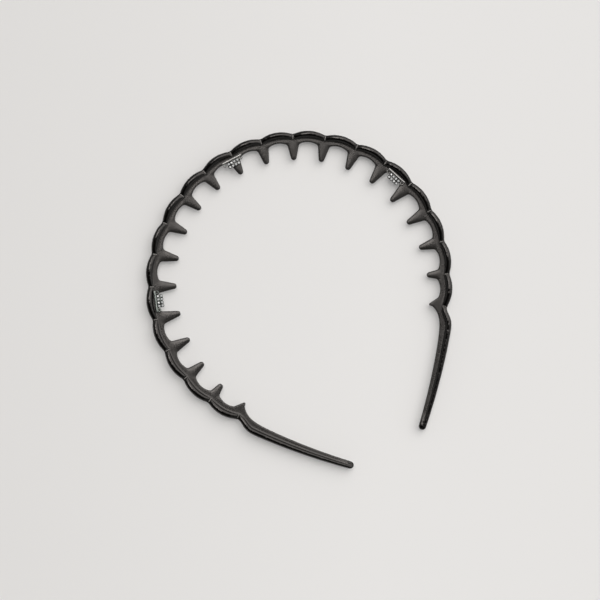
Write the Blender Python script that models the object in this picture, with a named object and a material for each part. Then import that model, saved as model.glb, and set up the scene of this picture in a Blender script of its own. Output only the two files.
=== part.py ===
"""Comb headband with a scalloped outer rim and three small jewelled trims.

The band lies flat: +Z is the axis of the hoop, +Y points to the crown and the
two legs run towards -Y.  The origin is at the middle of the footprint, on the
surface that the band rests on.  All lengths are metres.

The band is one springy moulding.  Its flex is represented by three links: the
crown, and one leg on each side, which turn about an upright axis on the outer
surface of the rim, half way round each shoulder.
"""
import math

import bmesh
import bpy
import numpy as np
from mathutils import Matrix, Vector

MM = 0.001

# ---- hoop -------------------------------------------------------------------
HOOP_A = 65.06 * MM            # half width of the valley ellipse, along X
HOOP_B = 63.73 * MM            # half height of the valley ellipse, along Y
HOOP_CY = 8.187 * MM           # its centre above the origin, along Y
PITCH = math.radians(12.75)    # angle from one lobe (and one tooth) to the next
LAST_TOOTH = 10                # teeth run from -10 to +10, number 0 at the crown

# ---- rim: a string of rounded lobes -----------------------------------------
LOBE_RADIUS = 14.9 * MM        # plan radius of one lobe's outer edge
RIM_IN_VALLEY = 2.35 * MM      # rim's inner boundary below the valley ellipse
RIM_IN_LOBE = 1.40 * MM        # the same, at the middle of a lobe
RIM_HALF_HEIGHT = 2.50 * MM
RIM_VALLEY_DROP = 0.42 * MM    # how much lower the rim is in a valley
RIM_FLAT_ANGLE = math.radians(4.1)   # half angle over which a lobe keeps its height
RIM_FLAT = 0.42                # flat share of the rim's half width, top and bottom
RIM_CHAMFER = (0.88, 0.68)     # one facet point between the flat and the outer edge
RIM_POWER = 2.4                # squareness of the rim's inner side

# ---- web and teeth ----------------------------------------------------------
WEB_HALF = 1.10 * MM           # half thickness of web and teeth
ARCH_DEPTH = 3.37 * MM         # top of an arch below the valley ellipse
ARCH_RADIUS = 7.9 * MM         # plan radius of an arch, which follows its lobe
TIP_REACH = 52.85 * MM         # distance from the hoop centre to a tooth's tip
TIP_SHORTEN = 0.255 * MM       # teeth past number 6 get shorter by this x (n-6)^2
TIP_RADIUS = 1.22 * MM
FLANK = math.radians(12.8)     # half angle of a tooth
FILLET = 1.50 * MM             # between a tooth's flank and the arch
THICKEN = 0.09 * MM            # the band thickens past lobe 7.5 by this x (n-7.5)^2
THICKEN_FROM = 7.5

# ---- legs -------------------------------------------------------------------
LEG_LENGTH = 54.0 * MM         # from the last valley to the leg's tip
LEG_WIDTH = 5.14 * MM          # width at the root, and how fast it narrows
LEG_TAPER = 0.0385
LEG_MID = 1.30 * MM            # centre line: offset, bow, lean
LEG_BOW = 1.75                 # per metre
LEG_BOW_AT = 17.0 * MM
LEG_LEAN = 0.0216
SHOULDER = 4.34 * MM           # the leg's outer edge swells out over this length
HOOK_TIP = 7.70 * MM           # the last tooth is a small hook
HOOK_RADIUS = 0.60 * MM
HOOK_FLANK = math.radians(43)
HOOK_FILLET = 1.5 * MM
HOOK_FLARE = 5.50 * MM
HOOK_DECAY = 3.13 * MM
LEG_RIM_SHARE = 0.54
LEG_TIP_HALF_HEIGHT = 1.75 * MM
LEG_TIP_WEB_HALF = 0.90 * MM

# ---- links ------------------------------------------------------------------
SPLIT = 3.5 * PITCH            # the links meet at the middle of this lobe
LINK_GAP = 0.30 * MM

# ---- trims ------------------------------------------------------------------
TRIM_ANGLE = 5.5 * PITCH
TRIM_DROP_SIDE = 2.15 * MM     # bar's outer edge below the valley ellipse
TRIM_DROP_CROWN = 2.90 * MM
TRIM_SLIDE = {"crown": -0.95 * MM, "right": 0.35 * MM, "left": 0.50 * MM}   # glued on a little off centre
BAR = (9.4 * MM, 1.0 * MM, 0.96 * MM)
STONE_PITCH = 1.39 * MM
STONE_COLUMNS = 4
STONE_ROWS = 2
CUP_RADIUS = 0.66 * MM
CUP_BORE = 0.55 * MM
STONE_RADIUS = 0.51 * MM
LOOP_RADIUS = 0.62 * MM        # ring centre line
LOOP_WIRE = 0.25 * MM
PAD_THICK = 0.11 * MM
SEAT = 0.03 * MM               # clearance between small seated pieces

MID_Z = RIM_HALF_HEIGHT
WEB_TOP = MID_Z + WEB_HALF


# ---------------------------------------------------------------- scene set-up
def clear_scene():
    for ob in list(bpy.data.objects):
        bpy.data.objects.remove(ob, do_unlink=True)
    for me in list(bpy.data.meshes):
        bpy.data.meshes.remove(me)


def material(name, colour, roughness, metallic=0.0, transmission=0.0):
    mat = bpy.data.materials.new(name)
    mat.use_nodes = True
    bsdf = mat.node_tree.nodes["Principled BSDF"]
    bsdf.inputs["Base Color"].default_value = (*colour, 1.0)
    bsdf.inputs["Roughness"].default_value = roughness
    bsdf.inputs["Metallic"].default_value = metallic
    bsdf.inputs["Transmission Weight"].default_value = transmission
    mat.diffuse_color = (*colour, 1.0)
    return mat


def link(name, mesh, mat):
    ob = bpy.data.objects.new(name, mesh)
    bpy.context.scene.collection.objects.link(ob)
    if not mesh.materials:
        mesh.materials.append(mat)
    return ob


# ------------------------------------------------------------- hoop geometry
def smooth(x):
    x = min(1.0, max(0.0, x))
    return x * x * (3.0 - 2.0 * x)


def valley_radius(theta):
    return 1.0 / math.hypot(math.sin(theta) / HOOP_A, math.cos(theta) / HOOP_B)


def lobe_phase(theta):
    """Angle from the middle of the lobe that theta falls in."""
    return (theta / PITCH - math.floor(theta / PITCH) - 0.5) * PITCH


def lobe_rise(phi):
    """Height of a lobe's outer edge above the valley ellipse."""
    r0 = 0.5 * (HOOP_A + HOOP_B)
    half = r0 * math.sin(PITCH / 2)
    back = r0 * math.cos(PITCH / 2) - math.sqrt(LOBE_RADIUS ** 2 - half ** 2)
    return (back * math.cos(phi)
            + math.sqrt(LOBE_RADIUS ** 2 - (back * math.sin(phi)) ** 2) - r0)


def rim_inner(phi):
    return -RIM_IN_VALLEY + (RIM_IN_VALLEY - RIM_IN_LOBE) * (1 - (2 * phi / PITCH) ** 2)


def rim_half_height(phi):
    over = (abs(phi) - RIM_FLAT_ANGLE) / (PITCH / 2 - RIM_FLAT_ANGLE)
    return RIM_HALF_HEIGHT - RIM_VALLEY_DROP * smooth(over)


def tip_reach(k):
    return TIP_REACH + TIP_SHORTEN * max(0, abs(k) - 6) ** 2


def polar(theta, r):
    return np.array([r * math.sin(theta), HOOP_CY + r * math.cos(theta)])


def arch_radius(theta):
    """Distance of the top of an arch from the hoop centre; the band thickens a
    little towards the roots of the legs."""
    past = max(0.0, abs(theta) / PITCH - THICKEN_FROM)
    return valley_radius(theta) - ARCH_DEPTH - THICKEN * past ** 2


def half_tooth(k, side):
    """Plan points of the comb edge from the tip of tooth k to the middle of the
    arch on one side (1 towards the leg, -1 towards the crown), in the tooth's
    own frame (u across, v outwards)."""
    flank, radius, fillet = FLANK, TIP_RADIUS, FILLET
    v_tip = tip_reach(k)
    if k == LAST_TOOTH:
        flank, radius, fillet = HOOK_FLANK, HOOK_RADIUS, HOOK_FILLET
        v_tip = valley_radius(k * PITCH) - HOOK_TIP
    centre = np.array([0.0, v_tip + radius])
    pts = []
    for a in np.linspace(-math.pi / 2, -flank, 3):
        pts.append(centre + radius * np.array([math.cos(a), math.sin(a)]))
    foot = pts[-1]
    half = PITCH / 2
    top = arch_radius(k * PITCH + side * half)
    hub = (top - ARCH_RADIUS) * np.array([math.sin(half), math.cos(half)])
    vc = top - fillet
    for _ in range(25):
        uc = foot[0] + (fillet + (vc - foot[1]) * math.sin(flank)) / math.cos(flank)
        vc = hub[1] + math.sqrt((ARCH_RADIUS - fillet) ** 2 - (uc - hub[0]) ** 2)
    c = np.array([uc, vc])
    a0 = math.atan2(math.sin(flank), -math.cos(flank))
    a1 = math.atan2(vc - hub[1], uc - hub[0])
    for a in np.linspace(a0, a1, 4):
        pts.append(c + fillet * np.array([math.cos(a), math.sin(a)]))
    for a in np.linspace(a1, math.pi / 2 - half, 3)[1:]:
        pts.append(hub + ARCH_RADIUS * np.array([math.cos(a), math.sin(a)]))
    return pts


def arc_station(theta, inner):
    phi = lobe_phase(theta)
    edge = min(PITCH / 2, abs(phi))
    return dict(base=polar(theta, valley_radius(theta)),
                out=np.array([math.sin(theta), math.cos(theta)]),
                rim_o=lobe_rise(edge), rim_i=rim_inner(edge),
                inner=inner, half=rim_half_height(edge), web=WEB_HALF)


def comb_edge():
    """Stations from the crown's middle to the tip of the last tooth (right side):
    pairs of angle and comb-edge point."""
    pts = []
    for k in range(0, LAST_TOOTH + 1):
        axis = k * PITCH
        turn = np.array([[math.cos(axis), math.sin(axis)],
                         [-math.sin(axis), math.cos(axis)]])
        if k:
            near = [turn @ np.array([-u, v]) for u, v in half_tooth(k, -1)]
            near.reverse()
            mid = near[0] if abs(math.atan2(near[0][0], near[0][1])
                                 - axis + PITCH / 2) < 1e-6 else None
            pts += near[1:-1] if mid is not None else near[:-1]
        far = half_tooth(k, 1)
        if k == LAST_TOOTH:
            far = far[:1]
        pts += [turn @ q for q in far]
    out = []
    for q in pts:
        out.append((math.atan2(q[0], q[1]), np.array([q[0], q[1] + HOOP_CY])))
    return out


def leg_station(s, tip_depth=None):
    """One section across the leg, s metres past the last valley."""
    theta = LAST_TOOTH * PITCH
    c0 = np.array([math.sin(theta), math.cos(theta)])
    d = np.array([math.cos(theta), -math.sin(theta)])
    mid = LEG_MID - LEG_BOW * (s - LEG_BOW_AT) ** 2 - LEG_LEAN * s
    slope = -2 * LEG_BOW * (s - LEG_BOW_AT) - LEG_LEAN
    n = c0 - d * slope
    n = n / np.linalg.norm(n)
    f = smooth(s / (8 * MM))
    out = c0 * (1 - f) + n * f
    out = out / np.linalg.norm(out)
    base = polar(theta, valley_radius(theta)) + d * s + c0 * mid
    width = LEG_WIDTH - LEG_TAPER * s
    swell = 1 - math.exp(-(s / SHOULDER) ** 1.9) if s > 0 else 0.0
    rim_o = (mid + width / 2) * swell - mid
    rim_i = (1 - f) * (-RIM_IN_VALLEY - mid) + f * (width / 2 - LEG_RIM_SHARE * width)
    depth = width / 2 + HOOK_FLARE * math.exp(-s / HOOK_DECAY)
    if tip_depth is not None:
        depth = tip_depth + mid
    inner = base - out * depth
    grow = smooth(s / (4.5 * MM))
    half = (RIM_HALF_HEIGHT - RIM_VALLEY_DROP) * (1 - grow) + grow * (
        RIM_HALF_HEIGHT + (LEG_TIP_HALF_HEIGHT - RIM_HALF_HEIGHT) * (s / LEG_LENGTH) ** 1.2)
    web = WEB_HALF + (LEG_TIP_WEB_HALF - WEB_HALF) * s / LEG_LENGTH
    return dict(base=base, out=out, rim_o=rim_o, rim_i=rim_i, inner=inner,
                half=half, web=web)


def squeeze(st, f):
    """Narrow a leg section towards its own middle, for the rounded tip."""
    lo = -np.dot(st["base"] - st["inner"], st["out"])
    hi = st["rim_o"]
    mid = 0.5 * (lo + hi)
    new = dict(st)
    new["rim_o"] = mid + (hi - mid) * f
    new["rim_i"] = mid + (st["rim_i"] - mid) * f
    new["inner"] = st["base"] + st["out"] * (mid + (lo - mid) * f)
    new["half"] = st["half"] * (0.35 + 0.65 * f)
    new["web"] = min(st["web"], 0.62 * new["half"])
    return new


def leg_stations():
    out = []
    beta = math.atan(0.52)
    for a in np.linspace(-math.pi / 2, -beta, 3)[1:]:
        s = HOOK_RADIUS * math.cos(a)
        out.append(leg_station(s, HOOK_TIP - HOOK_RADIUS - HOOK_RADIUS * math.sin(a)))
    end = LEG_LENGTH - 1.55 * MM
    for s in list(np.array([1.1, 1.8, 2.6, 3.6, 4.8, 6.2, 8.0, 10.5, 14.0, 19.0, 25.0,
                            31.0, 37.0, 43.0, 48.5]) * MM) + [end]:
        out.append(leg_station(s))
    for a in np.radians([25.0, 45.0, 62.0, 76.0]):
        st = leg_station(end + 1.55 * MM * math.sin(a))
        out.append(squeeze(st, math.cos(a)))
    return out


def ring(st):
    """Closed section of the band at one station, as 3-D points."""
    a = 0.5 * (st["rim_o"] - st["rim_i"])
    mid = 0.5 * (st["rim_o"] + st["rim_i"])
    b = st["half"]
    web = st["web"]
    xj = (1 - (web / b) ** RIM_POWER) ** (1 / RIM_POWER)
    side = [(xj, web / b), (RIM_FLAT, 1.0)]
    crest = [(RIM_FLAT, 1.0), (RIM_CHAMFER[0], RIM_CHAMFER[1]), (1.0, 0.0)]
    prof = [(-x, z) for x, z in side] + crest
    prof += [(x, -z) for x, z in reversed(crest[:-1])]
    prof += [(-x, -z) for x, z in reversed(side)]
    base, out = st["base"], st["out"]
    pts = []
    for x, z in prof:
        p = base + out * (mid + a * x)
        pts.append((p[0], p[1], MID_Z + b * z))
    q = st["inner"]
    pts.append((q[0], q[1], MID_Z - web))
    pts.append((q[0], q[1], MID_Z + web))
    return pts


def loft(name, rings, mat):
    bm = bmesh.new()
    loops = [[bm.verts.new(p) for p in r] for r in rings]
    n = len(loops[0])
    for lo, hi in zip(loops[:-1], loops[1:]):
        for j in range(n):
            bm.faces.new((lo[j], lo[(j + 1) % n], hi[(j + 1) % n], hi[j]))
    bm.faces.new(loops[0])
    bm.faces.new(list(reversed(loops[-1])))
    bmesh.ops.triangulate(bm, faces=[f for f in bm.faces if len(f.verts) > 4])
    bmesh.ops.recalc_face_normals(bm, faces=bm.faces)
    mesh = bpy.data.meshes.new(name)
    bm.to_mesh(mesh)
    bm.free()
    mesh.shade_smooth()
    mesh.set_sharp_from_angle(angle=math.radians(35))
    return link(name, mesh, mat)


def mirror_x(rings):
    return [[(-x, y, z) for x, y, z in r] for r in rings]


def cut_arch(theta):
    """Comb-edge point in the middle of an arch, at a chosen angle."""
    return polar(theta, arch_radius(theta))


def build_band(mat):
    edge = comb_edge()
    gap = 0.5 * LINK_GAP / HOOP_A
    crown_half = [arc_station(t, q) for t, q in edge if t < SPLIT - 2 * gap]
    crown_half.append(arc_station(SPLIT - gap, cut_arch(SPLIT - gap)))
    legs = [arc_station(SPLIT + gap, cut_arch(SPLIT + gap))]
    legs += [arc_station(t, q) for t, q in edge if t > SPLIT + 2 * gap]
    legs += leg_stations()
    right = [ring(s) for s in crown_half]
    whole = list(reversed(mirror_x(right[1:]))) + right
    crown = loft("band_crown", whole, mat)
    leg_rings = [ring(s) for s in legs]
    parts = [crown]
    for name, rings, sign in (("band_right_leg", leg_rings, 1),
                              ("band_left_leg", mirror_x(leg_rings), -1)):
        ob = loft(name, rings, mat)
        r = valley_radius(SPLIT) + lobe_rise(0.0)
        pivot = polar(SPLIT, r)
        place(ob, Vector((sign * pivot[0], pivot[1], 0.0)))
        parts.append(ob)
    return parts


def place(ob, origin):
    """Move an object's origin to its joint axis and keep its shape in place."""
    ob.data.transform(Matrix.Translation(-origin))
    ob.location = origin


# ------------------------------------------------------------------- trims
def prism(bm, centre, radius, z0, z1, sides, turn=0.0):
    ret = bmesh.ops.create_cone(
        bm, cap_ends=True, segments=sides, radius1=radius, radius2=radius,
        depth=z1 - z0,
        matrix=Matrix.Translation((centre[0], centre[1], 0.5 * (z0 + z1)))
        @ Matrix.Rotation(turn, 4, 'Z'))
    return ret["verts"]


def box(bm, x0, x1, y0, y1, z0, z1):
    ret = bmesh.ops.create_cube(bm, size=1.0, matrix=Matrix.Translation(
        ((x0 + x1) / 2, (y0 + y1) / 2, (z0 + z1) / 2)) @ Matrix.Diagonal(
        (x1 - x0, y1 - y0, z1 - z0, 1.0)))
    return ret["verts"]


def temp(name, bm, guide=True):
    mesh = bpy.data.meshes.new(name)
    bm.to_mesh(mesh)
    bm.free()
    ob = bpy.data.objects.new(name, mesh)
    bpy.context.scene.collection.objects.link(ob)
    if guide:
        ob.hide_render = True
        ob.display_type = 'WIRE'
    return ob


def stone_spots():
    for row in range(STONE_ROWS):
        for col in range(STONE_COLUMNS):
            yield (row, col,
                   (col - 0.5 * (STONE_COLUMNS - 1)) * STONE_PITCH,
                   -BAR[1] - STONE_PITCH * (row + 0.5))


def setting_mesh():
    """Silver setting: a bar with a small ring under each end, and a plate that
    carries one open cup for each stone.  z = 0 is its underside."""
    length, depth, high = BAR
    bm = bmesh.new()
    box(bm, -length / 2, length / 2, -depth, 0.0, 0.0, high)
    bmesh.ops.bevel(bm, geom=list(bm.edges), offset=0.22 * MM, segments=1,
                    profile=0.5, affect='EDGES')
    bar = temp("setting_blank", bm, guide=False)

    spots = list(stone_spots())
    half = 0.5 * STONE_COLUMNS * STONE_PITCH - 0.12 * MM
    reach = -depth - STONE_ROWS * STONE_PITCH + 0.14 * MM
    bm = bmesh.new()
    box(bm, -half, half, reach, -0.4 * MM, 0.013 * MM, 0.30 * MM)
    plate = temp("setting_plate_tool", bm)

    bm = bmesh.new()
    for _, _, u, v in spots:
        prism(bm, (u, v), CUP_RADIUS, 0.10 * MM, 0.66 * MM, 8, math.radians(22.5))
    cups = temp("setting_cup_tool", bm)

    bm = bmesh.new()
    for _, _, u, v in spots:
        prism(bm, (u, v), CUP_BORE, 0.40 * MM, 0.90 * MM, 8, math.radians(22.5))
    bores = temp("setting_bore_tool", bm)

    bm = bmesh.new()
    for side in (-1, 1):
        cx = side * (length / 2 - LOOP_RADIUS - LOOP_WIRE)
        cy = -depth - LOOP_RADIUS + 0.10 * MM
        loops = []
        n, m = 10, 5
        for i in range(n):
            a = 2 * math.pi * i / n
            loop = []
            for j in range(m):
                b = 2 * math.pi * (j + 0.5) / m
                r = LOOP_RADIUS + LOOP_WIRE * math.cos(b)
                loop.append(bm.verts.new((cx + r * math.cos(a), cy + r * math.sin(a),
                                          0.33 * MM + LOOP_WIRE * math.sin(b))))
            loops.append(loop)
        for i in range(n):
            for j in range(m):
                bm.faces.new((loops[i][j], loops[(i + 1) % n][j],
                              loops[(i + 1) % n][(j + 1) % m], loops[i][(j + 1) % m]))
    bmesh.ops.recalc_face_normals(bm, faces=bm.faces)
    rings_tool = temp("setting_ring_tool", bm)

    for tool, how in ((plate, 'UNION'), (cups, 'UNION'), (rings_tool, 'UNION'),
                      (bores, 'DIFFERENCE')):
        mod = bar.modifiers.new(tool.name, 'BOOLEAN')
        mod.operation = how
        mod.solver = 'EXACT'
        mod.object = tool
    bpy.context.view_layer.update()
    graph = bpy.context.evaluated_depsgraph_get()
    mesh = bpy.data.meshes.new_from_object(bar.evaluated_get(graph), depsgraph=graph)
    mesh.name = "setting"
    for ob in (bar, plate, cups, rings_tool, bores):
        bpy.data.objects.remove(ob, do_unlink=True)
    mesh.shade_smooth()
    mesh.set_sharp_from_angle(angle=math.radians(30))
    return mesh


def stone_mesh():
    """One faceted stone, table up; z = 0 is its flat back."""
    bm = bmesh.new()
    n = 8
    levels = ((0.60, 0.0), (1.0, 0.22), (0.62, 0.55))
    loops = []
    for share, z in levels:
        loops.append([bm.verts.new((STONE_RADIUS * share * math.cos(2 * math.pi * i / n),
                                    STONE_RADIUS * share * math.sin(2 * math.pi * i / n),
                                    z * MM)) for i in range(n)])
    for lo, hi in zip(loops[:-1], loops[1:]):
        for i in range(n):
            bm.faces.new((lo[i], lo[(i + 1) % n], hi[(i + 1) % n], hi[i]))
    bm.faces.new(list(reversed(loops[0])))
    bm.faces.new(loops[-1])
    bmesh.ops.recalc_face_normals(bm, faces=bm.faces)
    mesh = bpy.data.meshes.new("stone")
    bm.to_mesh(mesh)
    bm.free()
    return mesh


def pad_mesh():
    """Thin adhesive pad between the web and a setting."""
    length, depth, _ = BAR
    bm = bmesh.new()
    box(bm, -2.5 * MM, 2.5 * MM, -1.70 * MM, -0.10 * MM, 0.0, PAD_THICK)
    side = [e for e in bm.edges
            if abs(e.verts[0].co.z - e.verts[1].co.z) > 0.5 * PAD_THICK]
    bmesh.ops.bevel(bm, geom=side, offset=0.4 * MM, segments=2, profile=0.5,
                    affect='EDGES')
    mesh = bpy.data.meshes.new("pad")
    bm.to_mesh(mesh)
    bm.free()
    return mesh


def build_trims(silver, crystal, glue):
    setting, stone, pad = setting_mesh(), stone_mesh(), pad_mesh()
    trims = (("crown", 0.0, TRIM_DROP_CROWN),
             ("right", TRIM_ANGLE, TRIM_DROP_SIDE),
             ("left", -TRIM_ANGLE, TRIM_DROP_SIDE))
    pad_z = WEB_TOP + SEAT
    set_z = pad_z + PAD_THICK + SEAT
    stone_z = set_z + 0.40 * MM + SEAT
    for name, theta, drop in trims:
        at = polar(theta, valley_radius(theta) - drop)
        frame = Matrix.Translation((at[0], at[1], 0.0)) @ Matrix.Rotation(-theta, 4, 'Z')
        ob = link(name + "_trim_adhesive_pad", pad, glue)
        ob.matrix_world = frame @ Matrix.Translation((0, 0, pad_z))
        frame = frame @ Matrix.Translation((TRIM_SLIDE[name], 0, 0))
        ob = link(name + "_trim_setting", setting, silver)
        ob.matrix_world = frame @ Matrix.Translation((0, 0, set_z))
        for row, col, u, v in stone_spots():
            ob = link("%s_trim_stone_%s%d" % (name, "ab"[row], col + 1), stone, crystal)
            ob.matrix_world = frame @ Matrix.Translation((u, v, stone_z)) \
                @ Matrix.Rotation(math.radians(22.5), 4, 'Z')


def main():
    clear_scene()
    plastic = material("band_plastic", (0.035, 0.034, 0.033), 0.32)
    silver = material("trim_silver", (0.80, 0.81, 0.82), 0.20, metallic=1.0)
    crystal = material("trim_crystal", (0.95, 0.96, 0.97), 0.05, transmission=0.9)
    glue = material("trim_adhesive", (0.55, 0.55, 0.52), 0.6)
    build_band(plastic)
    build_trims(silver, crystal, glue)


main()
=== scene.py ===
"""Looks for the comb headband: fine band surface, jewelled trims, materials,
pale floor and soft light.  Lengths are metres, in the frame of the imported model."""
import math

import bmesh
import bpy
import numpy as np
from mathutils import Matrix, Vector


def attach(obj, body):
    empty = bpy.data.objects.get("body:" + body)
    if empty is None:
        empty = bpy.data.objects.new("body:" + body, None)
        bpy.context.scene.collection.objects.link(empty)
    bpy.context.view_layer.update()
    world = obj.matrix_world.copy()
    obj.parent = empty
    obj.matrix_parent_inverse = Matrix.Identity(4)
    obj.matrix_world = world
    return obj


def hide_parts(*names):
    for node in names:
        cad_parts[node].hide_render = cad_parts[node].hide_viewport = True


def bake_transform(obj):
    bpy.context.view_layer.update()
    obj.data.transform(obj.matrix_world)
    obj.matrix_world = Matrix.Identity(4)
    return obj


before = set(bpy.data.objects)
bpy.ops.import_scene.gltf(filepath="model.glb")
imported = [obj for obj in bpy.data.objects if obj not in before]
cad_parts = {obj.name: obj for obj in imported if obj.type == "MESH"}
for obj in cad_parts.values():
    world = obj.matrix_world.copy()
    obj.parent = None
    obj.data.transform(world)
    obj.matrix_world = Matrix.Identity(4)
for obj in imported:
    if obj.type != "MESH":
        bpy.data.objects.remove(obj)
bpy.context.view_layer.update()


scene = bpy.context.scene
MM = 0.001

# ---- the band's own dimensions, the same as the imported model's ---------------
HOOP_A, HOOP_B, HOOP_CY = 65.06 * MM, 63.73 * MM, 8.187 * MM
PITCH = math.radians(12.75)
LAST_TOOTH = 10
LOBE_RADIUS = 14.9 * MM
RIM_IN_VALLEY, RIM_IN_LOBE = 2.35 * MM, 1.40 * MM
RIM_HALF = 2.50 * MM
WEB_HALF = 1.10 * MM
ARCH_DEPTH, ARCH_RADIUS = 3.37 * MM, 7.9 * MM
TIP_REACH, TIP_SHORTEN, TIP_RADIUS = 52.85 * MM, 0.255 * MM, 1.22 * MM
FLANK, FILLET = math.radians(12.8), 1.50 * MM
THICKEN, THICKEN_FROM = 0.09 * MM, 7.5
LEG_LENGTH, LEG_WIDTH, LEG_TAPER = 54.0 * MM, 5.14 * MM, 0.0385
LEG_MID, LEG_BOW, LEG_BOW_AT, LEG_LEAN = 1.30 * MM, 1.75, 17.0 * MM, 0.0216
SHOULDER = 4.34 * MM
HOOK_TIP, HOOK_RADIUS = 7.70 * MM, 0.60 * MM
HOOK_FLANK, HOOK_FILLET = math.radians(43), 1.5 * MM
HOOK_FLARE, HOOK_DECAY = 5.50 * MM, 3.13 * MM
LEG_RIM_SHARE, LEG_TIP_HALF, LEG_TIP_WEB = 0.54, 1.75 * MM, 0.90 * MM
MID_Z = RIM_HALF
WEB_TOP = MID_Z + WEB_HALF

# ---- the trims' dimensions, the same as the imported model's --------------------
TRIM_AT = {"crown": (0.0, 2.90 * MM, -0.95 * MM), "right": (5.5 * PITCH, 2.15 * MM, 0.35 * MM),
           "left": (-5.5 * PITCH, 2.15 * MM, 0.50 * MM)}
BAR = (9.4 * MM, 1.0 * MM, 0.96 * MM)
STONE_PITCH = 1.39 * MM
ROWS = (-1.75 * MM, -3.16 * MM)
CUP_RADIUS, CUP_BORE, STONE_RADIUS = 0.66 * MM, 0.53 * MM, 0.50 * MM
LOOP_RADIUS, LOOP_WIRE = 0.62 * MM, 0.22 * MM
SET_Z = WEB_TOP + 0.17 * MM

# ---- fine surface -------------------------------------------------------------
EDGE = 0.46 * MM               # rounding of the web's and the teeth's edges
TIP_EDGE = 0.80 * MM           # rounding of the web's edge at the end of a leg
TOOTH_THIN = 0.26 * MM         # teeth are this much thinner, each side, at the tip
DOME = 0.22 * MM               # and this much thinner at their flanks than on their axis
COVE, COVE_REACH = 0.16 * MM, 0.75 * MM    # the web runs up into the rim in a hollow curve
CAP = 0.58                     # share of the rim's half height that is its round top
CAP_POWER = 2.15               # squareness of that round top
DRAFT = 0.035 * MM             # the mould's draft, up the outer wall
SAG = 1.00 * MM                # a lobe's top falls this much from its middle to its end
FLOOR_HALF = 1.34 * MM         # half height of the saddle between two lobes
SHOULDER_AT, FLOOR_AT = 0.80, 0.955   # where a lobe rounds off, where the saddle starts
NOTCH = 0.95 * MM              # reach of the rounding where two lobes meet outside
PARTING = 0.035 * MM           # moulding line round the middle of the outside
WAVE = 0.042 * MM              # gentle unevenness of the moulded rim


def smooth(x):
    x = min(1.0, max(0.0, x))
    return x * x * (3.0 - 2.0 * x)


def valley_radius(theta):
    return 1.0 / math.hypot(math.sin(theta) / HOOP_A, math.cos(theta) / HOOP_B)


def arch_radius(theta):
    past = max(0.0, abs(theta) / PITCH - THICKEN_FROM)
    return valley_radius(theta) - ARCH_DEPTH - THICKEN * past ** 2


def lobe_rise(phi):
    r0 = 0.5 * (HOOP_A + HOOP_B)
    half = r0 * math.sin(PITCH / 2)
    back = r0 * math.cos(PITCH / 2) - math.sqrt(LOBE_RADIUS ** 2 - half ** 2)
    return (back * math.cos(phi)
            + math.sqrt(LOBE_RADIUS ** 2 - (back * math.sin(phi)) ** 2) - r0)


def outer_rise(edge):
    """lobe_rise with the notch between two lobes rounded out."""
    half = 0.25 * (HOOP_A + HOOP_B) * PITCH
    s = (1.0 - edge) * half
    if s >= NOTCH:
        return lobe_rise(edge * PITCH / 2)
    at = lobe_rise((1.0 - NOTCH / half) * PITCH / 2)
    beyond = lobe_rise((1.0 - 1.1 * NOTCH / half) * PITCH / 2)
    steep = (beyond - at) / (0.1 * NOTCH)
    return at - steep * (NOTCH ** 2 - s * s) / (2 * NOTCH)


def tip_reach(k):
    return TIP_REACH + TIP_SHORTEN * max(0, abs(k) - 6) ** 2


def polar(theta, r):
    return np.array([r * math.sin(theta), HOOP_CY + r * math.cos(theta)])


def half_tooth(k, side):
    """Comb-edge points and normals (into the material) from the tip of tooth k
    to the middle of the arch on one side, in the tooth's own frame."""
    flank, radius, fillet = FLANK, TIP_RADIUS, FILLET
    v_tip = tip_reach(k)
    if k == LAST_TOOTH:
        flank, radius, fillet = HOOK_FLANK, HOOK_RADIUS, HOOK_FILLET
        v_tip = valley_radius(k * PITCH) - HOOK_TIP
    centre = np.array([0.0, v_tip + radius])
    pts = []
    for a in np.linspace(-math.pi / 2, -flank, 15):
        d = np.array([math.cos(a), math.sin(a)])
        pts.append((centre + radius * d, -d))
    foot = pts[-1][0]
    normal = pts[-1][1]
    half = PITCH / 2
    top = arch_radius(k * PITCH + side * half)
    hub = (top - ARCH_RADIUS) * np.array([math.sin(half), math.cos(half)])
    vc = top - fillet
    for _ in range(25):
        uc = foot[0] + (fillet + (vc - foot[1]) * math.sin(flank)) / math.cos(flank)
        vc = hub[1] + math.sqrt((ARCH_RADIUS - fillet) ** 2 - (uc - hub[0]) ** 2)
    c = np.array([uc, vc])
    a0 = math.atan2(math.sin(flank), -math.cos(flank))
    a1 = math.atan2(vc - hub[1], uc - hub[0])
    start = c + fillet * np.array([math.cos(a0), math.sin(a0)])
    run = max(3, int(round(np.linalg.norm(start - foot) / (0.55 * MM))))
    for i in range(1, run):
        pts.append((foot + (start - foot) * i / run, normal))
    for a in np.linspace(a0, a1, 11):
        d = np.array([math.cos(a), math.sin(a)])
        pts.append((c + fillet * d, d))
    am = math.pi / 2 - half
    n = max(2, int(round((a1 - am) * ARCH_RADIUS / (0.30 * MM))))
    for a in np.linspace(a1, am, n + 1)[1:]:
        d = np.array([math.cos(a), math.sin(a)])
        pts.append((hub + ARCH_RADIUS * d, d))
    return pts


def comb_edge():
    pts = []
    for k in range(0, LAST_TOOTH + 1):
        axis = k * PITCH
        turn = np.array([[math.cos(axis), math.sin(axis)],
                         [-math.sin(axis), math.cos(axis)]])
        flip = np.array([-1.0, 1.0])
        if k:
            near = [(turn @ (q * flip), turn @ (n * flip)) for q, n in half_tooth(k, -1)]
            near.reverse()
            a = math.atan2(near[0][0][0], near[0][0][1])
            pts += near[1:-1] if abs(a - axis + PITCH / 2) < 1e-6 else near[:-1]
        far = half_tooth(k, 1)
        if k == LAST_TOOTH:
            far = far[:1]
        pts += [(turn @ q, turn @ n) for q, n in far]
    return [(math.atan2(q[0], q[1]), np.array([q[0], q[1] + HOOP_CY]), n)
            for q, n in pts]


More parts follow.
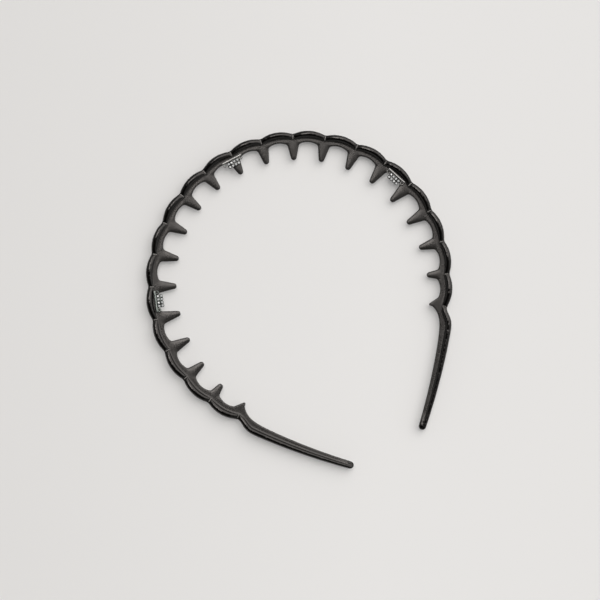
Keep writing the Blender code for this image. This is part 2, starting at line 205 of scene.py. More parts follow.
def rim_wave(s):
    """Slow, repeatable unevenness along the rim (s in metres)."""
    x = s / MM
    return (0.55 * math.sin(x * 1.37 + 0.4) + 0.45 * math.sin(x * 2.31 + 1.9)
            + 0.35 * math.sin(x * 0.63 + 2.7) + 0.25 * math.sin(x * 3.9 + 0.8))


def lobe_half(edge):
    """Half height of the rim at a share of a half lobe (0 middle, 1 valley)."""
    if edge >= FLOOR_AT:
        return FLOOR_HALF
    half = RIM_HALF - 0.02 * MM - SAG * edge * edge
    if edge > SHOULDER_AT:
        t = (edge - SHOULDER_AT) / (FLOOR_AT - SHOULDER_AT)
        end = RIM_HALF - 0.02 * MM - SAG * FLOOR_AT ** 2
        half -= (end - FLOOR_HALF) * (1.0 - math.sqrt(max(0.0, 1.0 - t ** 2.2)))
    return half


def arc_station(theta, inner, normal):
    phi = (theta / PITCH - math.floor(theta / PITCH) - 0.5) * PITCH
    if abs(theta - LAST_TOOTH * PITCH) < 1e-9 or abs(theta) < 1e-9:
        phi = PITCH / 2
    edge = min(1.0, abs(2 * phi / PITCH))
    rise = outer_rise(edge)
    rim_i = -RIM_IN_VALLEY + (RIM_IN_VALLEY - RIM_IN_LOBE) * (1 - edge ** 2)
    s = theta * 65 * MM
    w = WAVE * rim_wave(s) * (1 - edge ** 6)
    d = np.array([math.sin(theta), math.cos(theta)])
    tip = tip_reach(round(theta / PITCH)) if abs(theta) < (LAST_TOOTH - 0.5) * PITCH \
        else valley_radius(theta) - HOOK_TIP
    return dict(base=polar(theta, valley_radius(theta)), out=d, rim_o=rise + 0.5 * w,
                rim_i=rim_i, inner=inner, normal=normal,
                half=lobe_half(edge) + 0.3 * w, web=WEB_HALF,
                arch=arch_radius(theta), tip=tip, lean=0.6 * w,
                valley=smooth((edge - 0.88) / 0.08), notch=edge > 0.965)


def leg_station(s, tip_depth=None):
    theta = LAST_TOOTH * PITCH
    c0 = np.array([math.sin(theta), math.cos(theta)])
    d = np.array([math.cos(theta), -math.sin(theta)])
    mid = LEG_MID - LEG_BOW * (s - LEG_BOW_AT) ** 2 - LEG_LEAN * s
    slope = -2 * LEG_BOW * (s - LEG_BOW_AT) - LEG_LEAN
    n = c0 - d * slope
    n = n / np.linalg.norm(n)
    f = smooth(s / (8 * MM))
    out = c0 * (1 - f) + n * f
    out = out / np.linalg.norm(out)
    base = polar(theta, valley_radius(theta)) + d * s + c0 * mid
    width = LEG_WIDTH - LEG_TAPER * s
    swell = 1 - math.exp(-(s / SHOULDER) ** 1.9) if s > 0 else 0.0
    rim_o = (mid + width / 2) * swell - mid
    rim_i = (1 - f) * (-RIM_IN_VALLEY - mid) + f * (width / 2 - LEG_RIM_SHARE * width)
    depth = width / 2 + HOOK_FLARE * math.exp(-s / HOOK_DECAY)
    if tip_depth is not None:
        depth = tip_depth + mid
    floor = (1.0 - FLOOR_AT) * 0.5 * PITCH * 64 * MM
    full = RIM_HALF - 0.03 * MM + (LEG_TIP_HALF - RIM_HALF) * (s / LEG_LENGTH) ** 1.2
    half = FLOOR_HALF
    if s > floor:
        t = 1.0 - min(1.0, (s - floor) / (1.25 * MM))
        sag = SAG * (1.0 - min(1.0, s / (9.0 * MM))) ** 2
        half += (full - sag - FLOOR_HALF) * math.sqrt(max(0.0, 1.0 - t ** 2.2))
    web = WEB_HALF + (LEG_TIP_WEB - WEB_HALF) * s / LEG_LENGTH
    close = smooth((s - LEG_LENGTH + 7.5 * MM) / (6.2 * MM))     # one round tip
    web += (0.74 * half - web) * close
    w = WAVE * rim_wave(LAST_TOOTH * PITCH * 65 * MM + s) * smooth(s / (3 * MM))
    return dict(base=base, out=out, rim_o=rim_o, rim_i=rim_i, inner=base - out * depth,
                normal=None, half=half + 0.2 * w, web=web, arch=None, tip=None,
                lean=0.5 * w, edge=EDGE + (TIP_EDGE - EDGE) * close, end=close > 0.55,
                valley=1.0 - smooth((s - floor) / (0.55 * MM)))


def squeeze(st, f):
    lo = float(np.dot(st["inner"] - st["base"], st["out"]))
    hi = st["rim_o"]
    mid = 0.5 * (lo + hi)
    new = dict(st)
    new["rim_o"] = mid + (hi - mid) * f
    new["rim_i"] = mid + (st["rim_i"] - mid) * f
    new["inner"] = st["base"] + st["out"] * (mid + (lo - mid) * f)
    new["half"] = st["half"] * (0.30 + 0.70 * f)
    new["web"] = st["web"] * (0.30 + 0.70 * f)
    new["lean"] = st["lean"] * f
    new["squeeze"] = f
    return new


def leg_stations():
    out = []
    beta = math.atan(0.52)
    for a in np.linspace(-math.pi / 2, -beta, 7)[1:]:
        s = HOOK_RADIUS * math.cos(a)
        st = leg_station(s, HOOK_TIP - HOOK_RADIUS - HOOK_RADIUS * math.sin(a))
        out.append(st)
    end = LEG_LENGTH - 1.55 * MM
    s = HOOK_RADIUS * math.cos(-beta)
    while s < end - 0.3 * MM:
        s += (0.17 + 0.16 * smooth((s / MM - 3) / 8)) * MM
        out.append(leg_station(min(s, end)))
    if out[-1] is not None and s < end:
        out.append(leg_station(end))
    for a in np.radians(np.linspace(6, 88, 20)):
        st = leg_station(end + 1.55 * MM * math.sin(a))
        out.append(squeeze(st, math.cos(a)))
    return out


def stations():
    sts = [arc_station(t, q, n) for t, q, n in comb_edge()]
    legs = leg_stations()
    sts += legs
    inner = np.array([s["inner"] for s in sts])
    for i, st in enumerate(sts):
        if st["normal"] is None:
            a, b = inner[max(0, i - 1)], inner[min(len(sts) - 1, i + 1)]
            t = b - a
            n = np.array([t[1], -t[0]])
            n = n / max(1e-12, np.linalg.norm(n))
            if np.dot(n, st["out"]) < 0:
                n = -n
            st["normal"] = n
    return sts


N_CAP = 15
SADDLE_GREY_SPAN = (1, 7)                 # part of the rim's section that is coloured light grey across the saddles between lobes
N_RIM = 2 * (N_CAP + 6)
COVE_STEPS = 6
WEB_STEPS = 12


def ring(st):
    """Closed section of the band: rim, underside of the web, edge, top of the web."""
    a = 0.5 * (st["rim_o"] - st["rim_i"])
    mid = 0.5 * (st["rim_o"] + st["rim_i"])
    b, web = st["half"], st["web"]
    base, out, n = st["base"], st["out"], st["normal"]
    f = st.get("squeeze", 1.0)
    pts = []
    cap = CAP * b
    wall = b - cap
    power = CAP_POWER + 2.6 * st["valley"]
    cove = max(0.0, min(COVE, b - web - 0.14 * MM))
    zj = min(0.96, max(0.0, (web + cove - 0.02 * MM - wall) / cap))
    xj = (1 - zj ** power) ** (1 / power)
    start = math.acos(-(xj ** (power / 2)))
    over = []
    for i in range(N_CAP + 1):
        u = start * (1 - i / N_CAP)
        cu, su = math.cos(u), math.sin(u)
        over.append((math.copysign(abs(cu) ** (2 / power), cu),
                     wall + cap * abs(su) ** (2 / power)))
    over[-1] = (1.0, wall)
    side = [(1.0, wall * t) for t in (0.80, 0.58, 0.36, 0.16, 0.045, 0.0)]
    prof = over + side + [(x, -z) for x, z in reversed(over + side[:-1])]
    for x, z in prof:
        r = mid + a * x + st["lean"] * (1 - abs(x)) * (1 if z > 0 else 0.4)
        if abs(z) < wall and x > 0.9:
            r += DRAFT * f * (1 - abs(z) / wall)
            if abs(z) < 0.02 * wall:
                r += PARTING * f
        p = base + out * r
        pts.append((p[0], p[1], MID_Z + z))
    join = base + out * (mid - a * xj)
    edge = st.get("edge", EDGE) * f
    q = st["inner"]
    root = q + n * edge

    def thickness(p):
        if st["arch"] is None:
            return web
        x, y = p[0], p[1] - HOOP_CY
        r, th = math.hypot(x, y), math.atan2(x, y)
        fade = 1.0 - smooth((th / PITCH - 9.50) / 0.30)
        t = (st["arch"] - r) / max(1e-6, st["arch"] - st["tip"])
        t = min(1.2, max(0.0, t))
        k = round(th / PITCH)
        low = tip_reach(k) + TIP_RADIUS - r
        half = (TIP_RADIUS / math.cos(FLANK) - low * math.tan(FLANK) if low < 0.0
                else math.sqrt(max(0.04 * TIP_RADIUS ** 2, TIP_RADIUS ** 2 - low * low)))
        u = min(1.0, abs(th - k * PITCH) * r / half)
        side = smooth((st["arch"] - r) / (1.8 * MM))
        return web - fade * (TOOTH_THIN * t ** 1.7 + DOME * side * u * u)

    length = float(np.linalg.norm(root - join))
    reach = min(COVE_REACH, 0.8 * length)

    def along(i):
        c = min(0.8 * MM, 0.5 * length)
        d = (c * (i / COVE_STEPS) ** 1.2 if i <= COVE_STEPS
             else c + (length - c) * (i - COVE_STEPS) / (WEB_STEPS - COVE_STEPS))
        p = join + (root - join) * (d / length)
        rise = cove * max(0.0, 1.0 - d / reach) ** 2
        return p, thickness(p) + rise

    for i in range(1, WEB_STEPS):
        p, h = along(i)
        pts.append((p[0], p[1], MID_Z - h))
    top = thickness(root)
    e = min(edge, 0.8 * top)
    arc = [90, 66, 42, 20, 0]
    prof = [(edge * (1 - math.cos(math.radians(t))), top - e + e * math.sin(math.radians(t)))
            for t in arc]
    prof += [(0.0, 0.05 * MM * f), (-0.8 * PARTING * f, 0.0)]
    full = [(x, -z) for x, z in prof[:-1]] + [prof[-1]] + [(x, z) for x, z in reversed(prof[:-1])]
    for x, z in full:
        p = q + n * x
        pts.append((p[0], p[1], MID_Z + z))
    for i in range(WEB_STEPS - 1, 0, -1):
        p, h = along(i)
        pts.append((p[0], p[1], MID_Z + h))
    return pts


def build_half(name, sign, rings, notches, ends, mats):
    verts = []
    for r in rings:
        verts += [(sign * x, y, z) for x, y, z in r]
    n = len(rings[0])
    faces, index = [], []
    for i in range(len(rings) - 1):
        for j in range(n):
            k = (j + 1) % n
            quad = (i * n + j, i * n + k, (i + 1) * n + k, (i + 1) * n + j)
            faces.append(quad if sign < 0 else quad[::-1])
            # faces across the saddle between two lobes take the light grey material
            in_grey_saddle = notches[i] and notches[i + 1] and SADDLE_GREY_SPAN[0] <= j < SADDLE_GREY_SPAN[1]
            index.append(2 if in_grey_saddle else 0 if j < N_RIM or ends[i] else 1)
    mesh = bpy.data.meshes.new(name)
    cap0 = tuple(range(n))
    last = (len(rings) - 1) * n
    cap1 = tuple(last + j for j in range(n))
    faces.append(cap0[::-1] if sign < 0 else cap0)
    faces.append(cap1 if sign < 0 else cap1[::-1])
    index += [1, 0]
    mesh.from_pydata(verts, [], faces)
    mesh.polygons.foreach_set("material_index", index)
    bm = bmesh.new()
    bm.from_mesh(mesh)
    bmesh.ops.recalc_face_normals(bm, faces=bm.faces)
    bm.faces.ensure_lookup_table()
    ngon = [fc for fc in bm.faces if len(fc.verts) > 4]
    for fc in ngon:
        for e in fc.edges:
            e.smooth = False
    bmesh.ops.triangulate(bm, faces=ngon)
    for fc in bm.faces:
        fc.smooth = True
    bm.to_mesh(mesh)
    bm.free()
    for m in mats:
        mesh.materials.append(m)
    ob = bpy.data.objects.new(name, mesh)
    scene.collection.objects.link(ob)
    return ob


# ------------------------------------------------------------------ materials
def new_material(name):
    mat = bpy.data.materials.new(name)
    mat.use_nodes = True
    nt = mat.node_tree
    for nd in list(nt.nodes):
        nt.nodes.remove(nd)
    out = nt.nodes.new("ShaderNodeOutputMaterial")
    bsdf = nt.nodes.new("ShaderNodeBsdfPrincipled")
    nt.links.new(bsdf.outputs[0], out.inputs[0])
    return mat, nt, bsdf


def node(nt, kind, **values):
    nd = nt.nodes.new(kind)
    for k, v in values.items():
        if k in nd.inputs:
            nd.inputs[k].default_value = v
        else:
            setattr(nd, k, v)
    return nd


def ramp(nt, source, stops):
    r = nt.nodes.new("ShaderNodeValToRGB")
    r.color_ramp.elements[0].position = stops[0][0]
    r.color_ramp.elements[0].color = (*stops[0][1], 1)
    r.color_ramp.elements[1].position = stops[-1][0]
    r.color_ramp.elements[1].color = (*stops[-1][1], 1)
    for pos, col in stops[1:-1]:
        e = r.color_ramp.elements.new(pos)
        e.color = (*col, 1)
    nt.links.new(source, r.inputs["Fac"])
    return r.outputs["Color"]


def map_range(nt, source, a, b, lo, hi):
    m = nt.nodes.new("ShaderNodeMapRange")
    m.inputs["From Min"].default_value = a
    m.inputs["From Max"].default_value = b
    m.inputs["To Min"].default_value = lo
    m.inputs["To Max"].default_value = hi
    nt.links.new(source, m.inputs["Value"])
    return m.outputs["Result"]


def plastic(name, dark, light, rough_lo, rough_hi, grain, grain_scale, scratch,
            flow=0.0, level=0.5):
    """Black moulded plastic: slow tone and gloss variation, fine grain, hairline
    scratches. flow is the height in metres of the slow moulding ripples that break
    up the highlights; level is the specular level."""
    mat, nt, bsdf = new_material(name)
    coord = nt.nodes.new("ShaderNodeTexCoord")
    obj = coord.outputs["Object"]
    tone = node(nt, "ShaderNodeTexNoise", Scale=90.0, Detail=5.0, Roughness=0.55)
    nt.links.new(obj, tone.inputs["Vector"])
    nt.links.new(ramp(nt, tone.outputs["Fac"], [(0.25, dark), (0.75, light)]),
                 bsdf.inputs["Base Color"])
    handle = node(nt, "ShaderNodeTexNoise", Scale=170.0, Detail=6.0, Roughness=0.62,
                  Distortion=0.6)
    nt.links.new(obj, handle.inputs["Vector"])
    fine = node(nt, "ShaderNodeTexNoise", Scale=grain_scale, Detail=3.0, Roughness=0.6)
    nt.links.new(obj, fine.inputs["Vector"])
    # hairline scratches: a stretched noise, kept only where it crosses a thin level
    stretch = nt.nodes.new("ShaderNodeMapping")
    stretch.inputs["Scale"].default_value = (340.0, 2600.0, 900.0)
    stretch.inputs["Rotation"].default_value = (0.0, 0.0, 0.7)
    nt.links.new(obj, stretch.inputs["Vector"])
    hair = node(nt, "ShaderNodeTexNoise", Scale=1.0, Detail=2.0, Roughness=0.5)
    nt.links.new(stretch.outputs["Vector"], hair.inputs["Vector"])
    lines = map_range(nt, hair.outputs["Fac"], 0.60, 0.67, 0.0, 1.0)
    rough = map_range(nt, handle.outputs["Fac"], 0.30, 0.72, rough_lo, rough_hi)
    add = nt.nodes.new("ShaderNodeMath")
    add.operation = 'MULTIPLY_ADD'
    nt.links.new(lines, add.inputs[0])
    add.inputs[1].default_value = scratch
    nt.links.new(rough, add.inputs[2])
    nt.links.new(add.outputs[0], bsdf.inputs["Roughness"])
    bump = nt.nodes.new("ShaderNodeBump")
    bump.inputs["Strength"].default_value = grain
    bump.inputs["Distance"].default_value = 0.00004
    nt.links.new(fine.outputs["Fac"], bump.inputs["Height"])
    bump2 = nt.nodes.new("ShaderNodeBump")
    bump2.inputs["Strength"].default_value = 0.35
    bump2.inputs["Distance"].default_value = 0.00002
    bump2.invert = True
    nt.links.new(lines, bump2.inputs["Height"])
    nt.links.new(bump.outputs["Normal"], bump2.inputs["Normal"])
    normal = bump2.outputs["Normal"]
    if flow > 0:
        slow = node(nt, "ShaderNodeTexNoise", Scale=620.0, Detail=1.5, Roughness=0.5)
        nt.links.new(obj, slow.inputs["Vector"])
        bump3 = nt.nodes.new("ShaderNodeBump")
        bump3.inputs["Strength"].default_value = 1.0
        bump3.inputs["Distance"].default_value = flow
        nt.links.new(slow.outputs["Fac"], bump3.inputs["Height"])
        nt.links.new(normal, bump3.inputs["Normal"])
        normal = bump3.outputs["Normal"]
    nt.links.new(normal, bsdf.inputs["Normal"])
    bsdf.inputs["IOR"].default_value = 1.5
    bsdf.inputs["Specular IOR Level"].default_value = level
    bsdf.inputs["Specular Tint"].default_value = (1.0, 0.968, 0.950, 1.0)
    return mat


def metal(name, dull, bright, rough_lo, rough_hi):
    """Silver plate: darker low down in the recesses and brighter on what stands up, a painted shade and
    a painted highlight.
    """
    mat, nt, bsdf = new_material(name)
    coord = nt.nodes.new("ShaderNodeTexCoord")
    obj = coord.outputs["Object"]
    n1 = node(nt, "ShaderNodeTexNoise", Scale=1400.0, Detail=4.0, Roughness=0.6)
    nt.links.new(obj, n1.inputs["Vector"])
    split = nt.nodes.new("ShaderNodeSeparateXYZ")
    nt.links.new(obj, split.inputs[0])
    # painted shade and highlight: the colour runs from dark low down to bright higher up
    painted_shade_by_height = map_range(nt, split.outputs["Z"], SET_Z + 0.15 * MM, SET_Z + 0.80 * MM, 0.0, 1.0)
    mixed = nt.nodes.new("ShaderNodeMath")
    mixed.operation = 'MULTIPLY_ADD'
    nt.links.new(n1.outputs["Fac"], mixed.inputs[0])
    mixed.inputs[1].default_value = 0.55
    nt.links.new(painted_shade_by_height, mixed.inputs[2])
    nt.links.new(ramp(nt, mixed.outputs[0], [(0.22, dull), (0.95, bright)]),
                 bsdf.inputs["Base Color"])
    nt.links.new(map_range(nt, n1.outputs["Fac"], 0.3, 0.7, rough_lo, rough_hi),
                 bsdf.inputs["Roughness"])
    bsdf.inputs["Metallic"].default_value = 1.0
    bump = nt.nodes.new("ShaderNodeBump")
    bump.inputs["Strength"].default_value = 0.35
    bump.inputs["Distance"].default_value = 0.00003
    nt.links.new(n1.outputs["Fac"], bump.inputs["Height"])
    nt.links.new(bump.outputs["Normal"], bsdf.inputs["Normal"])
    return mat


def crystal(name):
    mat, nt, bsdf = new_material(name)
    coord = nt.nodes.new("ShaderNodeTexCoord")
    n1 = node(nt, "ShaderNodeTexNoise", Scale=900.0, Detail=2.0)
    nt.links.new(coord.outputs["Object"], n1.inputs["Vector"])
    nt.links.new(ramp(nt, n1.outputs["Fac"], [(0.3, (0.66, 0.68, 0.69)), (0.7, (0.80, 0.82, 0.83))]),
                 bsdf.inputs["Base Color"])
    bsdf.inputs["Roughness"].default_value = 0.04
    bsdf.inputs["IOR"].default_value = 1.68
    bsdf.inputs["Transmission Weight"].default_value = 0.30
    return mat


def glue_material(name):
    mat, nt, bsdf = new_material(name)
    coord = nt.nodes.new("ShaderNodeTexCoord")
    n1 = node(nt, "ShaderNodeTexNoise", Scale=1500.0, Detail=4.0)
    nt.links.new(coord.outputs["Object"], n1.inputs["Vector"])
    nt.links.new(ramp(nt, n1.outputs["Fac"], [(0.3, (0.44, 0.44, 0.40)), (0.7, (0.62, 0.62, 0.58))]),
                 bsdf.inputs["Base Color"])
    nt.links.new(map_range(nt, n1.outputs["Fac"], 0.3, 0.7, 0.30, 0.55),
                 bsdf.inputs["Roughness"])
    bsdf.inputs["Subsurface Weight"].default_value = 0.2
    bsdf.inputs["Subsurface Radius"].default_value = (0.0004, 0.0004, 0.0003)
    return mat


rim_gloss = plastic("rim_gloss_black", (0.0014, 0.0013, 0.0012), (0.0026, 0.0023, 0.0021),
                    0.06, 0.14, 0.60, 1500.0, 0.08, flow=0.00015, level=0.40)
web_satin = plastic("web_satin_black", (0.0100, 0.0096, 0.0092), (0.0160, 0.0154, 0.0148),
                    0.24, 0.32, 0.55, 5200.0, 0.06)
# a light grey colour laid across the faces of the saddle between two lobes
saddle_light_grey = plastic("notch_saddle_light_grey", (0.075, 0.073, 0.070), (0.22, 0.215, 0.208),
                     0.30, 0.50, 0.60, 4200.0, 0.06)
silver = metal("trim_silver_plate", (0.055, 0.055, 0.053), (0.235, 0.235, 0.230), 0.24, 0.40)
# a copy of the silver, greener and darker: painted reflection of greenish surroundings on the left trim
silver_painted_reflection = metal("trim_silver_painted_green_reflection", (0.055, 0.062, 0.058), (0.185, 0.205, 0.194), 0.26, 0.42)
crystal_mat = crystal("trim_clear_crystal")
glue = glue_material("trim_glue")

# ----------------------------------------------------------------------- band
sections = stations()
rings = [ring(s) for s in sections]
notches = [s.get("notch", False) for s in sections]
ends = [s.get("end", False) for s in sections]
right = build_half("band_right_half", 1, rings, notches, ends, (rim_gloss, web_satin, saddle_light_grey))
left = build_half("band_left_half", -1, rings, notches, ends, (rim_gloss, web_satin, saddle_light_grey))


for ob, body, sign, node_name in ((right, "right_leg", 1, "band_right_leg"),
                                  (left, "left_leg", -1, "band_left_leg")):
    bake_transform(ob)
    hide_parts("band_crown", node_name)

# ---------------------------------------------------------------------- trims
def loft(bm, rings):
    """A closed shell through rings of points, each end closed by a fan."""
    loops = [[bm.verts.new(p) for p in r] for r in rings]
    n = len(loops[0])
    for lo, hi in zip(loops[:-1], loops[1:]):
        for i in range(n):
            bm.faces.new((lo[i], lo[(i + 1) % n], hi[(i + 1) % n], hi[i]))
    for loop in (loops[0], loops[-1]):
        mid = bm.verts.new(sum((v.co for v in loop), Vector()) / n)
        for i in range(n):
            bm.faces.new((loop[i], loop[(i + 1) % n], mid))


def bar_shell(bm):
    """The polished bar: a soft-edged section with domed, slightly upset ends."""
    length, depth, high = BAR
    turn = np.linspace(0, 2 * math.pi, 28, endpoint=False)
    ends = [(math.sin(a), math.cos(a)) for a in np.radians(np.linspace(6, 84, 8))]
    spots = [(-length / 2 + 0.42 * MM * (1 - c), s) for s, c in ends]
    spots += [(u, 1.0) for u in np.linspace(-length / 2 + 0.47 * MM, length / 2 - 0.47 * MM, 46)]
    spots += [(-u, k) for u, k in reversed(spots[:8])]
    rings = []
    for u, k in spots:
        x = u / MM
        thick = 1.0 - 0.035 * math.cos(x * 1.7 + 0.4) - 0.02 * math.sin(x * 4.1)
        ring_pts = []
        for t in turn:
            c, sn = math.cos(t), math.sin(t)
            y = math.copysign(abs(c) ** (2 / 3.0), c) * 0.5 * depth * (0.30 + 0.70 * k) * thick
            z = math.copysign(abs(sn) ** (2 / (2.4 if sn > 0 else 4.5)), sn) * 0.5 * high
            ring_pts.append((u, -depth / 2 + y, SET_Z + high / 2 + z * (0.35 + 0.65 * k)))
        rings.append(ring_pts)
    loft(bm, rings)


def loop_shell(bm, cx, cy, z, lean):
    """A closed wire ring, rubbed a little thinner on its outer side."""
    n, m = 30, 12
    loops = []
    for i in range(n):
        a = 2 * math.pi * i / n
        wire = LOOP_WIRE * (1.0 - 0.10 * math.cos(a - 0.7))
        loop = []
        for j in range(m):
            b = 2 * math.pi * j / m
            r = LOOP_RADIUS + wire * math.cos(b)
            x, y = r * math.cos(a), r * math.sin(a)
            loop.append(bm.verts.new((cx + x, cy + y, z + wire * math.sin(b) + lean * x)))
        loops.append(loop)
    for i in range(n):
        for j in range(m):
            bm.faces.new((loops[i][j], loops[(i + 1) % n][j],
                          loops[(i + 1) % n][(j + 1) % m], loops[i][(j + 1) % m]))


def columns():
    return [(c - 1.5) * STONE_PITCH for c in range(4)]


def plate_shell(bm):
    """Backing plate with one scallop round each stone of the lower row."""
    edge = [(-2.70, -0.45), (-2.76, -1.2), (-2.70, -2.1), (-2.76, -2.8)]
    for u in columns():
        for a in np.radians(np.linspace(200, 340, 11)):
            edge.append((u / MM + 0.70 * math.cos(a), ROWS[1] / MM + 0.70 * math.sin(a)))
    edge += [(2.76, -2.8), (2.70, -2.1), (2.76, -1.2), (2.70, -0.45)]
    mid = (0.0, -1.9)
    rings = []
    for inset, z in ((0.05, 0.015), (0.0, 0.05), (0.0, 0.20), (0.06, 0.27)):
        rings.append([((mid[0] + (x - mid[0]) * (1 - inset / 2.7)) * MM,
                       (mid[1] + (y - mid[1]) * (1 - inset / 1.6)) * MM, SET_Z + z * MM)
                      for x, y in edge])
    loft(bm, rings)


def cup_shell(bm, u, v):
    """An open cup with a rolled lip."""
    prof = [(0.30, 0.06), (0.56, 0.07), (0.64, 0.16), (0.66, 0.34), (0.66, 0.50), (0.645, 0.60),
            (0.60, 0.64), (0.555, 0.61), (0.53, 0.52), (0.52, 0.42), (0.30, 0.38)]
    n = 24
    loft(bm, [[(u + r * MM * math.cos(2 * math.pi * i / n), v + r * MM * math.sin(2 * math.pi * i / n),
                SET_Z + z * MM) for i in range(n)] for r, z in prof])


def claw_shell(bm, u, v, a, reach, high):
    """One claw, rising from the cup's wall and bent in over the stone."""
    path = [(0.640, 0.20), (0.655, 0.42), (0.640, 0.60), (0.590, 0.74), (0.500, 0.82),
            (0.420 - reach, 0.84)]
    wide = [0.06, 0.105, 0.115, 0.115, 0.105, 0.055]
    d = Vector((math.cos(a), math.sin(a), 0))
    e = Vector((-math.sin(a), math.cos(a), 0))
    rings = []
    for i, ((r, z), w) in enumerate(zip(path, wide)):
        p = Vector((u, v, SET_Z)) + d * (r * MM) + Vector((0, 0, z * high * MM))
        lo, hi = path[max(0, i - 1)], path[min(len(path) - 1, i + 1)]
        t = (d * (hi[0] - lo[0]) + Vector((0, 0, hi[1] - lo[1]))).normalized()
        n = t.cross(e).normalized()
        rings.append([p + (e * math.cos(b) + n * math.sin(b) * 0.75) * (w * MM)
                      for b in np.linspace(0, 2 * math.pi, 8, endpoint=False)])
    loft(bm, rings)


def finish_mesh(name, bm, mats, frame_matrix, soft):
    bmesh.ops.recalc_face_normals(bm, faces=bm.faces)
    bm.transform(frame_matrix)
    for f in bm.faces:
        f.smooth = soft
    mesh = bpy.data.meshes.new(name)
    bm.to_mesh(mesh)
    bm.free()
    for m in mats:
        mesh.materials.append(m)
    if soft:
        mesh.set_sharp_from_angle(angle=math.radians(50))
    ob = bpy.data.objects.new(name, mesh)
    scene.collection.objects.link(ob)
    return ob


def stones_mesh(bm, name):
    """Eight brilliant-cut stones, each turned a little its own way."""
    spin = {"crown": 0.3, "right": 1.1, "left": 2.0}[name]
    for r, v in enumerate(ROWS):
        for c, u in enumerate(columns()):
            a0 = spin + 1.7 * c + 0.9 * r
            tilt = (0.07 * math.sin(3.1 * c + 1.3 * r + spin), 0.07 * math.cos(2.3 * c + 2.1 * r + spin))
            made = []
            for n, share, z, off in ((8, 0.58, 0.90, 0.5), (8, 0.82, 0.795, 0.0),
                                     (16, 1.0, 0.665, 0.0), (16, 1.0, 0.625, 0.0),
                                     (8, 0.60, 0.50, 0.5), (8, 0.14, 0.425, 0.0)):
                for i in range(n):
                    a = a0 + 2 * math.pi * (i + off) / n
                    x, y = share * STONE_RADIUS * math.cos(a), share * STONE_RADIUS * math.sin(a)
                    made.append(bm.verts.new((u + x, v + y,
                                              SET_Z + z * MM + tilt[0] * x + tilt[1] * y)))
            bmesh.ops.convex_hull(bm, input=made)


for name, body in (("crown", "crown"), ("right", "right_leg"), ("left", "left_leg")):
    theta, drop, slide = TRIM_AT[name]
    at = polar(theta, valley_radius(theta) - drop)
    place = (Matrix.Translation((at[0], at[1], 0.0)) @ Matrix.Rotation(-theta, 4, 'Z')
             @ Matrix.Translation((slide, 0, 0)))
    # the left trim gets the silver copy with the painted greenish reflection
    plate_mat = silver_painted_reflection if name == "left" else silver

    bm = bmesh.new()
    bar_shell(bm)
    plate_shell(bm)
    for side in (-1, 1):
        loop_shell(bm, side * (BAR[0] / 2 - LOOP_RADIUS - 0.25 * MM),
                   -BAR[1] - LOOP_RADIUS + 0.10 * MM, SET_Z + 0.33 * MM, 0.05 * side)
    for r, v in enumerate(ROWS):
        for c, u in enumerate(columns()):
            cup_shell(bm, u, v)
            for i in range(4):
                a = math.pi / 4 + i * math.pi / 2 + 0.12 * math.sin(2.0 * c + 3.0 * r + i)
                claw_shell(bm, u, v, a, 0.03 * math.sin(1.9 * i + c), 1.0 + 0.03 * math.cos(i + 2 * c))
    ob = finish_mesh(name + "_trim_setting_fine", bm, (plate_mat,), place, True)
    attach(ob, body)
    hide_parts(name + "_trim_setting")

    bm = bmesh.new()
    stones_mesh(bm, name)
    ob = finish_mesh(name + "_trim_stones_cut", bm, (crystal_mat,), place, False)
    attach(ob, body)
    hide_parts(*["%s_trim_stone_%s%d" % (name, row, col) for row in "ab" for col in range(1, 5)])

for name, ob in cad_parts.items():
    if "trim_adhesive_pad" in name:
        ob.data.materials.clear()
        ob.data.materials.append(glue)

# --------------------------------------------------------- floor, light, camera
RIGHT = Vector((0.8828, -0.4697, 0.0))
UP = Vector((0.4697, 0.8828, 0.0))
KEY, FILL, TOP, LOW, ROOM, AMBIENT = 2.35, 0.7, 8.0, 0.9, 0.38, 0.012

floor_mat, nt, bsdf = new_material("floor_pale")
coord = nt.nodes.new("ShaderNodeTexCoord")
n1 = node(nt, "ShaderNodeTexNoise", Scale=2.2, Detail=3.0, Roughness=0.5)
nt.links.new(coord.outputs["Object"], n1.inputs["Vector"])
# painted shade: the floor's colour is darker towards the picture's left and paler to its right, standing
# in for the light falling off on the left
across = nt.nodes.new("ShaderNodeVectorMath")
across.operation = 'DOT_PRODUCT'
nt.links.new(coord.outputs["Object"], across.inputs[0])
across.inputs[1].default_value = RIGHT
painted_shade_gradient = map_range(nt, across.outputs["Value"], -0.14, 0.03, 0.0, 0.85)
tone = nt.nodes.new("ShaderNodeMath")
tone.operation = 'MULTIPLY_ADD'
nt.links.new(n1.outputs["Fac"], tone.inputs[0])
tone.inputs[1].default_value = 0.15
nt.links.new(painted_shade_gradient, tone.inputs[2])
nt.links.new(ramp(nt, tone.outputs[0], [(0.0, (0.500, 0.501, 0.502)), (1.0, (0.575, 0.578, 0.581))]),
             bsdf.inputs["Base Color"])
# the floor glows a little of its own, though it is no lamp: painted light that lightens the shadows cast
# on it
bsdf.inputs["Emission Color"].default_value = (1.0, 0.985, 0.965, 1.0)
bsdf.inputs["Emission Strength"].default_value = 0.22
bsdf.inputs["Roughness"].default_value = 0.75
bsdf.inputs["Specular IOR Level"].default_value = 0.2
bm = bmesh.new()
bmesh.ops.create_grid(bm, x_segments=8, y_segments=8, size=4.0)
floor_mesh = bpy.data.meshes.new("floor")
bm.to_mesh(floor_mesh)
bm.free()
floor = bpy.data.objects.new("floor", floor_mesh)
floor.location = (0, 0, -0.0001)
floor_mesh.materials.append(floor_mat)
scene.collection.objects.link(floor)


def direction(right_up_left_deg, elevation_deg):
    """Unit vector: compass angle clockwise from the picture's top, and elevation."""
    az, el = math.radians(right_up_left_deg), math.radians(elevation_deg)
    flat = UP * math.cos(az) + RIGHT * math.sin(az)
    return flat * math.cos(el) + Vector((0, 0, math.sin(el)))


world = bpy.data.worlds.new("studio")
scene.world = world
world.use_nodes = True
wt = world.node_tree
bg = wt.nodes["Background"]
sky = wt.nodes.new("ShaderNodeTexCoord").outputs["Generated"]


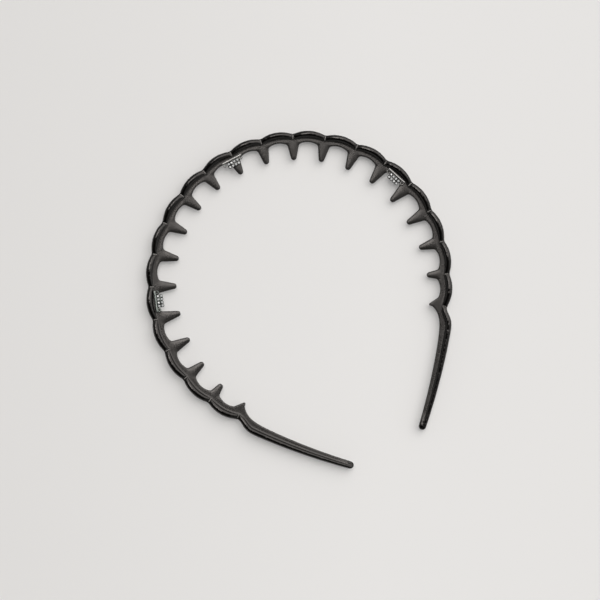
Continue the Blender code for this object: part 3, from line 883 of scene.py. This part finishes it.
def soft_light(toward, inner_deg, outer_deg, radiance):
    """A soft round light in the studio's surroundings."""
    dot = wt.nodes.new("ShaderNodeVectorMath")
    dot.operation = 'DOT_PRODUCT'
    wt.links.new(sky, dot.inputs[0])
    dot.inputs[1].default_value = toward
    m = wt.nodes.new("ShaderNodeMapRange")
    m.interpolation_type = 'SMOOTHSTEP'
    m.inputs["From Min"].default_value = math.cos(math.radians(outer_deg))
    m.inputs["From Max"].default_value = math.cos(math.radians(inner_deg))
    m.inputs["To Min"].default_value = 0.0
    m.inputs["To Max"].default_value = radiance
    wt.links.new(dot.outputs["Value"], m.inputs["Value"])
    return m.outputs["Result"]


def combine(kind, a, b):
    m = wt.nodes.new("ShaderNodeMath")
    m.operation = kind
    for i, x in enumerate((a, b)):
        if isinstance(x, float):
            m.inputs[i].default_value = x
        else:
            wt.links.new(x, m.inputs[i])
    return m.outputs[0]


# an even pale room, darker where the camera and its stand are, with a wide
# window light from the picture's upper right and a small lamp overhead
stand = soft_light(direction(225, 62), 27, 45, 1.0)
room = combine('MULTIPLY', combine('SUBTRACT', 1.0, stand), ROOM)
total = combine('ADD', room, soft_light(direction(-10, 60), 8, 27, FILL))
total = combine('ADD', total, soft_light(direction(80, 30), 12, 32, LOW))
total = combine('ADD', total, AMBIENT)
bg.inputs["Color"].default_value = (0.985, 0.985, 0.970, 1.0)
wt.links.new(total, bg.inputs["Strength"])
window = wt.nodes.new("ShaderNodeBackground")
window.inputs["Color"].default_value = (1.0, 0.955, 0.920, 1.0)
wt.links.new(combine('ADD', soft_light(direction(36, 49), 18, 37, KEY),
                     soft_light(direction(-28, 75), 5, 11, TOP)), window.inputs["Strength"])
both = wt.nodes.new("ShaderNodeAddShader")
wt.links.new(bg.outputs[0], both.inputs[0])
wt.links.new(window.outputs[0], both.inputs[1])
wt.links.new(both.outputs[0], wt.nodes["World Output"].inputs["Surface"])

cam_data = bpy.data.cameras.new("camera")
cam_data.sensor_width = 36.0
cam_data.lens = 2.3143 * 800 / 600 * 36.0
cam_data.clip_start = 0.01
cam = bpy.data.objects.new("camera", cam_data)
cam.location = (-0.03134, -0.00409, 0.800)
turn = (Matrix.Rotation(-0.4897, 4, 'Z') @ Matrix.Rotation(-0.0278, 4, 'Y')
        @ Matrix.Rotation(0.0225, 4, 'X'))
cam.matrix_world = Matrix.Translation(cam.location) @ turn
scene.collection.objects.link(cam)
scene.camera = cam
scene.view_settings.view_transform = 'Standard'
scene.view_settings.look = 'None'
